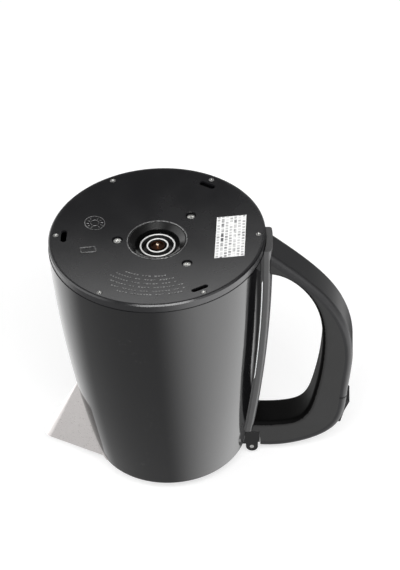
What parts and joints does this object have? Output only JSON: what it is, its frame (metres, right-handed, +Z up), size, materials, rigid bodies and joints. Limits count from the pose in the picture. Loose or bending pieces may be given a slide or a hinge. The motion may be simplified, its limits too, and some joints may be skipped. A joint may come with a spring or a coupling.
{
  "type": "cordless jug kettle",
  "caption": "Black jug kettle with a closed loop handle, hinged domed lid, steel pouring spout, level windows and a round cordless contact under its dished base.",
  "frame": {"origin": "on the jug's axis, in the plane of the flat ring that the base stands on", "axes": "+Z up along the jug's axis, +X towards the handle, -X towards the spout, +Y to the side"},
  "size_m": [0.2281, 0.1508, 0.1995],
  "materials": {
    "jug_gloss": "gloss black polypropylene",
    "base_plastic": "satin black polypropylene",
    "handle_satin": "satin black polypropylene",
    "connector_plastic": "dark moulded thermoset",
    "control_nylon": "natural nylon",
    "zinc_screws": "bright zinc plate",
    "contact_metal": "silver-plated contact",
    "bimetal": "bare bimetal",
    "element_sheath": "bare aluminium",
    "steel": "brushed stainless",
    "spout_steel": "brushed stainless",
    "silicone": "translucent grey silicone",
    "window_clear": "milky clear plastic",
    "label_paper": "blank white sticker"
  },
  "bodies": {
    "kettle": {"base_cover": "base_plastic", "rim_screws": "zinc_screws", "control_screws": "zinc_screws", "rating_label": "label_paper", "connector_housing": "connector_plastic", "connector_outer_ring": "contact_metal", "connector_inner_ring": "contact_metal", "connector_pin": "contact_metal", "control_body": "control_nylon", "bimetal_discs": "bimetal", "heating_element": "element_sheath", "heat_spreader": "element_sheath", "heating_plate": "steel", "plate_seal": "silicone", "clamp_ring": "steel", "body_shell": "jug_gloss", "water_windows": "window_clear", "handle_saddle": "handle_satin", "handle_grip": "handle_satin", "handle_cover": "handle_satin", "handle_top_cap": "handle_satin", "handle_screws": "zinc_screws", "switch_pin": "steel", "steam_switch": "control_nylon", "lead_wires": "silicone", "top_collar": "jug_gloss", "lid_hinge_pin": "steel", "spout": "spout_steel"},
    "lid": {"lid_cover": "jug_gloss", "lid_inner": "base_plastic"},
    "rocker": {"switch_rocker": "handle_satin"},
    "filter": {"filter_frame": "base_plastic", "filter_screen": "steel"}
  },
  "joints": [
    {"name": "lid_hinge", "type": "hinge", "parent": "kettle", "child": "lid", "pos_m": [0.05971, 0, 0.191], "axis": [0, 1, 0], "range_deg": [0, 80]},
    {"name": "switch_rock", "type": "hinge", "parent": "kettle", "child": "rocker", "pos_m": [0.12316, 0, 0.15896], "axis": [0, 1, 0], "range_deg": [0, 10]},
    {"name": "filter_slide", "type": "slide", "parent": "kettle", "child": "filter", "axis": [1, 0, 0], "range_m": [0, 0.014]}
  ]
}
